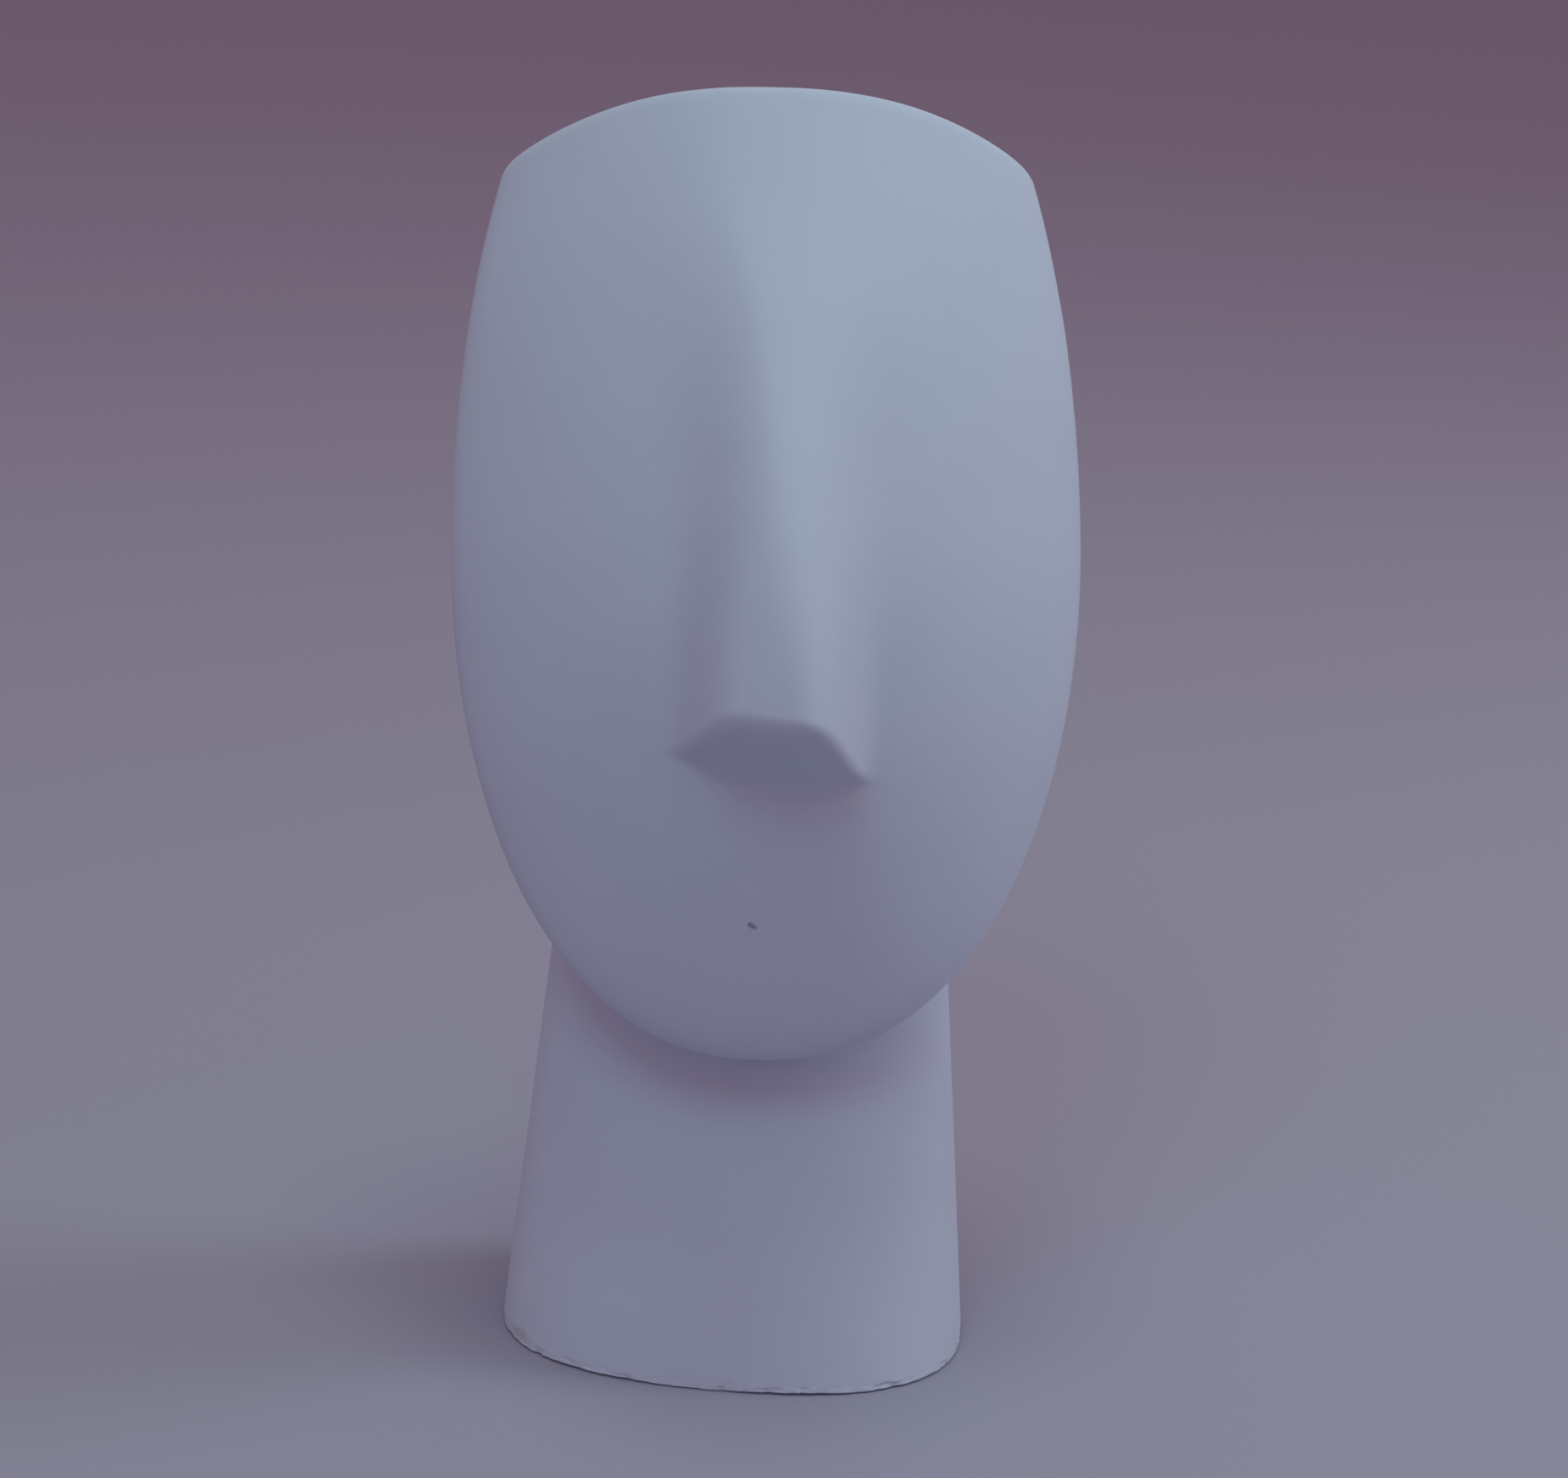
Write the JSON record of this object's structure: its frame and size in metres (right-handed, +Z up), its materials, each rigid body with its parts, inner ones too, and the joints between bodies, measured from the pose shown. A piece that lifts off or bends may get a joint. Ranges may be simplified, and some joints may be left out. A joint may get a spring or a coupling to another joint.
{
  "type": "face statue",
  "caption": "Abstract head on its neck: a shield-shaped face that leans back, one long ridge of a nose, an arched crown and a flat cut underside.",
  "frame": {"origin": "middle of the neck's flat underside", "axes": "+Z up the neck, the face looks along -Y, +X is to the right of someone who looks at the face"},
  "size_m": [0.1096, 0.1021, 0.2206],
  "materials": {
    "cast_plaster": "matte"
  },
  "bodies": {
    "root": {"face_statue": "cast_plaster"}
  },
  "joints": []
}
